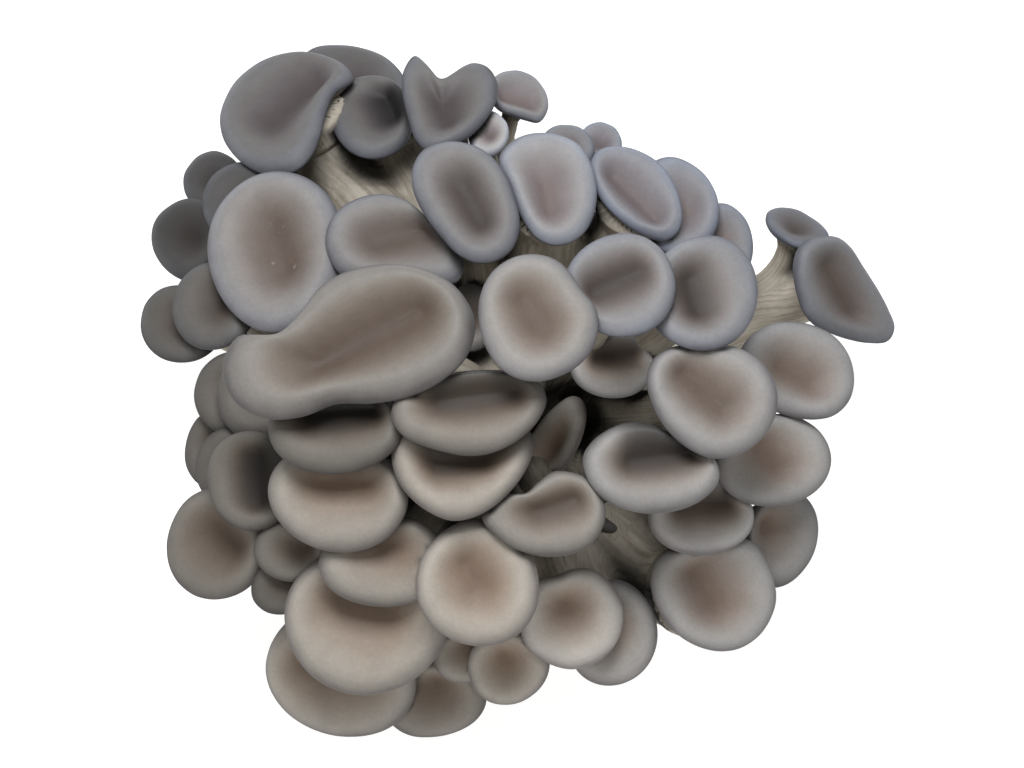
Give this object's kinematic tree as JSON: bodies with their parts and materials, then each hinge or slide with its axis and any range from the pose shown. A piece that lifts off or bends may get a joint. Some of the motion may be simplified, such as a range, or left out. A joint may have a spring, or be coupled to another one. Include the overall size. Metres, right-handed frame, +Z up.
{
  "type": "oyster mushroom cluster",
  "caption": "A picked cluster of grey oyster mushrooms: overlapping hollowed caps with gills, on curved cream stalks that grow from a cut butt. It stands on the butt.",
  "frame": {"origin": "The middle of the butt's cut face, which is the face that the cluster stands on.", "axes": "+X is the cluster's right as pictured, +Y its back, which is the picture's top, and +Z up, out of the butt."},
  "size_m": [0.255, 0.248, 0.1451],
  "materials": {
    "cap_skin": "velvety grey-brown mushroom skin, darker in the hollow, with a dark bluish rim line",
    "stalk_flesh": "matt cream mushroom flesh with fine fibres along the stalks"
  },
  "bodies": {
    "root": {"cap_01": "cap_skin", "cap_02": "cap_skin", "cap_03": "cap_skin", "cap_04": "cap_skin", "cap_05": "cap_skin", "cap_06": "cap_skin", "cap_07": "cap_skin", "cap_08": "cap_skin", "cap_09": "cap_skin", "cap_10": "cap_skin", "cap_11": "cap_skin", "cap_12": "cap_skin", "cap_13": "cap_skin", "cap_14": "cap_skin", "cap_15": "cap_skin", "cap_16": "cap_skin", "cap_17": "cap_skin", "cap_18": "cap_skin", "cap_19": "cap_skin", "cap_20": "cap_skin", "cap_21": "cap_skin", "cap_22": "cap_skin", "cap_23": "cap_skin", "cap_24": "cap_skin", "cap_25": "cap_skin", "cap_26": "cap_skin", "cap_27": "cap_skin", "cap_28": "cap_skin", "cap_29": "cap_skin", "cap_30": "cap_skin", "cap_31": "cap_skin", "cap_32": "cap_skin", "cap_33": "cap_skin", "cap_34": "cap_skin", "cap_35": "cap_skin", "cap_36": "cap_skin", "cap_37": "cap_skin", "cap_38": "cap_skin", "cap_39": "cap_skin", "cap_40": "cap_skin", "cap_41": "cap_skin", "cap_42": "cap_skin", "cap_43": "cap_skin", "cap_44": "cap_skin", "cap_45": "cap_skin", "cap_46": "cap_skin", "cap_47": "cap_skin", "cap_48": "cap_skin", "cap_49": "cap_skin", "cap_50": "cap_skin", "cap_51": "cap_skin", "cap_52": "cap_skin", "cap_53": "cap_skin", "cap_54": "cap_skin", "cap_55": "cap_skin", "cap_56": "cap_skin", "cap_57": "cap_skin", "cap_58": "cap_skin", "cap_59": "cap_skin", "stalks_and_butt": "stalk_flesh"}
  },
  "joints": []
}
